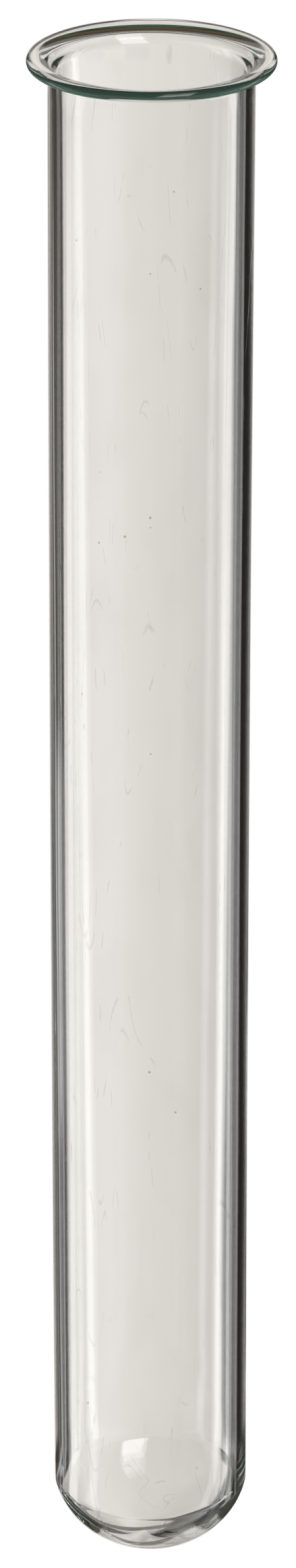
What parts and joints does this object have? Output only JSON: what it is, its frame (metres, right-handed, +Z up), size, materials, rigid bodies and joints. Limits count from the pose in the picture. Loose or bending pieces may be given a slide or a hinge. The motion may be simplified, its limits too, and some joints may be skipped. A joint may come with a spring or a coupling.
{
  "type": "test tube",
  "caption": "Round-bottomed glass test tube with a flared, fire-polished lip, open at the top.",
  "frame": {"origin": "lowest point of the round bottom, on the tube's axis", "axes": "+Z up along the tube's axis, out of the mouth; the tube is round about it, so +X and +Y are free"},
  "size_m": [0.0192, 0.0192, 0.13],
  "materials": {
    "glass": "clear soda-lime glass, fire-polished, faintly green where it is seen edge-on"
  },
  "bodies": {
    "root": {"test_tube": "glass"}
  },
  "joints": []
}
